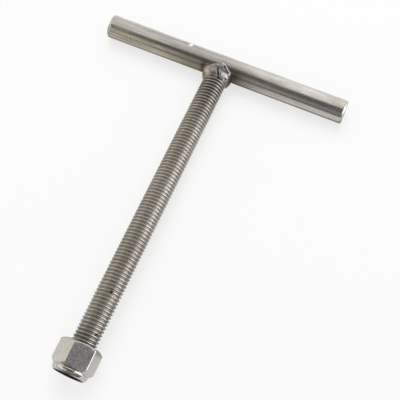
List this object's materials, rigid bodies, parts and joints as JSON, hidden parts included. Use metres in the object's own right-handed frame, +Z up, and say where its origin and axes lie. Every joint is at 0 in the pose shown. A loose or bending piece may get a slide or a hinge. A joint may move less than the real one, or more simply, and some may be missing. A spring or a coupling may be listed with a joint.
{
  "type": "anchor rod",
  "caption": "T-shaped anchor rod of stainless steel: a threaded rod welded to the side of a round cross bar, with a nylon-ring lock nut on its free end.",
  "frame": {"origin": "on the ground, in the middle of the box round the part as it lies", "axes": "+X along the cross bar, -Y along the rod towards the nut, +Z up"},
  "size_m": [0.13, 0.178, 0.0205],
  "materials": {
    "bar_steel": "drawn stainless steel, satin, fine lines along the bar",
    "rod_steel": "rolled thread, stainless steel, brownish dirt in the grooves",
    "weld_metal": "rough grey weld metal",
    "nut_steel": "satin stainless steel, polished edges",
    "ring_nylon": "matt dark nylon"
  },
  "bodies": {
    "anchor": {"cross_bar": "bar_steel", "threaded_rod": "rod_steel", "weld_bead": "weld_metal"},
    "ring": {"nylon_insert": "ring_nylon"},
    "nut": {"lock_nut": "nut_steel"}
  },
  "joints": [
    {"name": "nut_travel", "type": "slide", "parent": "anchor", "child": "ring", "axis": [0, 0.9997, -0.026], "range_m": [-0.00885, 0.14535]},
    {"name": "nut_turn", "type": "hinge", "parent": "ring", "child": "nut", "pos_m": [-0.00175, -0.08156, 0.01028], "axis": [0, 0.9997, -0.026], "range_deg": [-1800, 29880]}
  ],
  "couplings": [
    {"joint": "nut_travel", "follows": "nut_turn", "m_per_rad": 0.00027852}
  ]
}
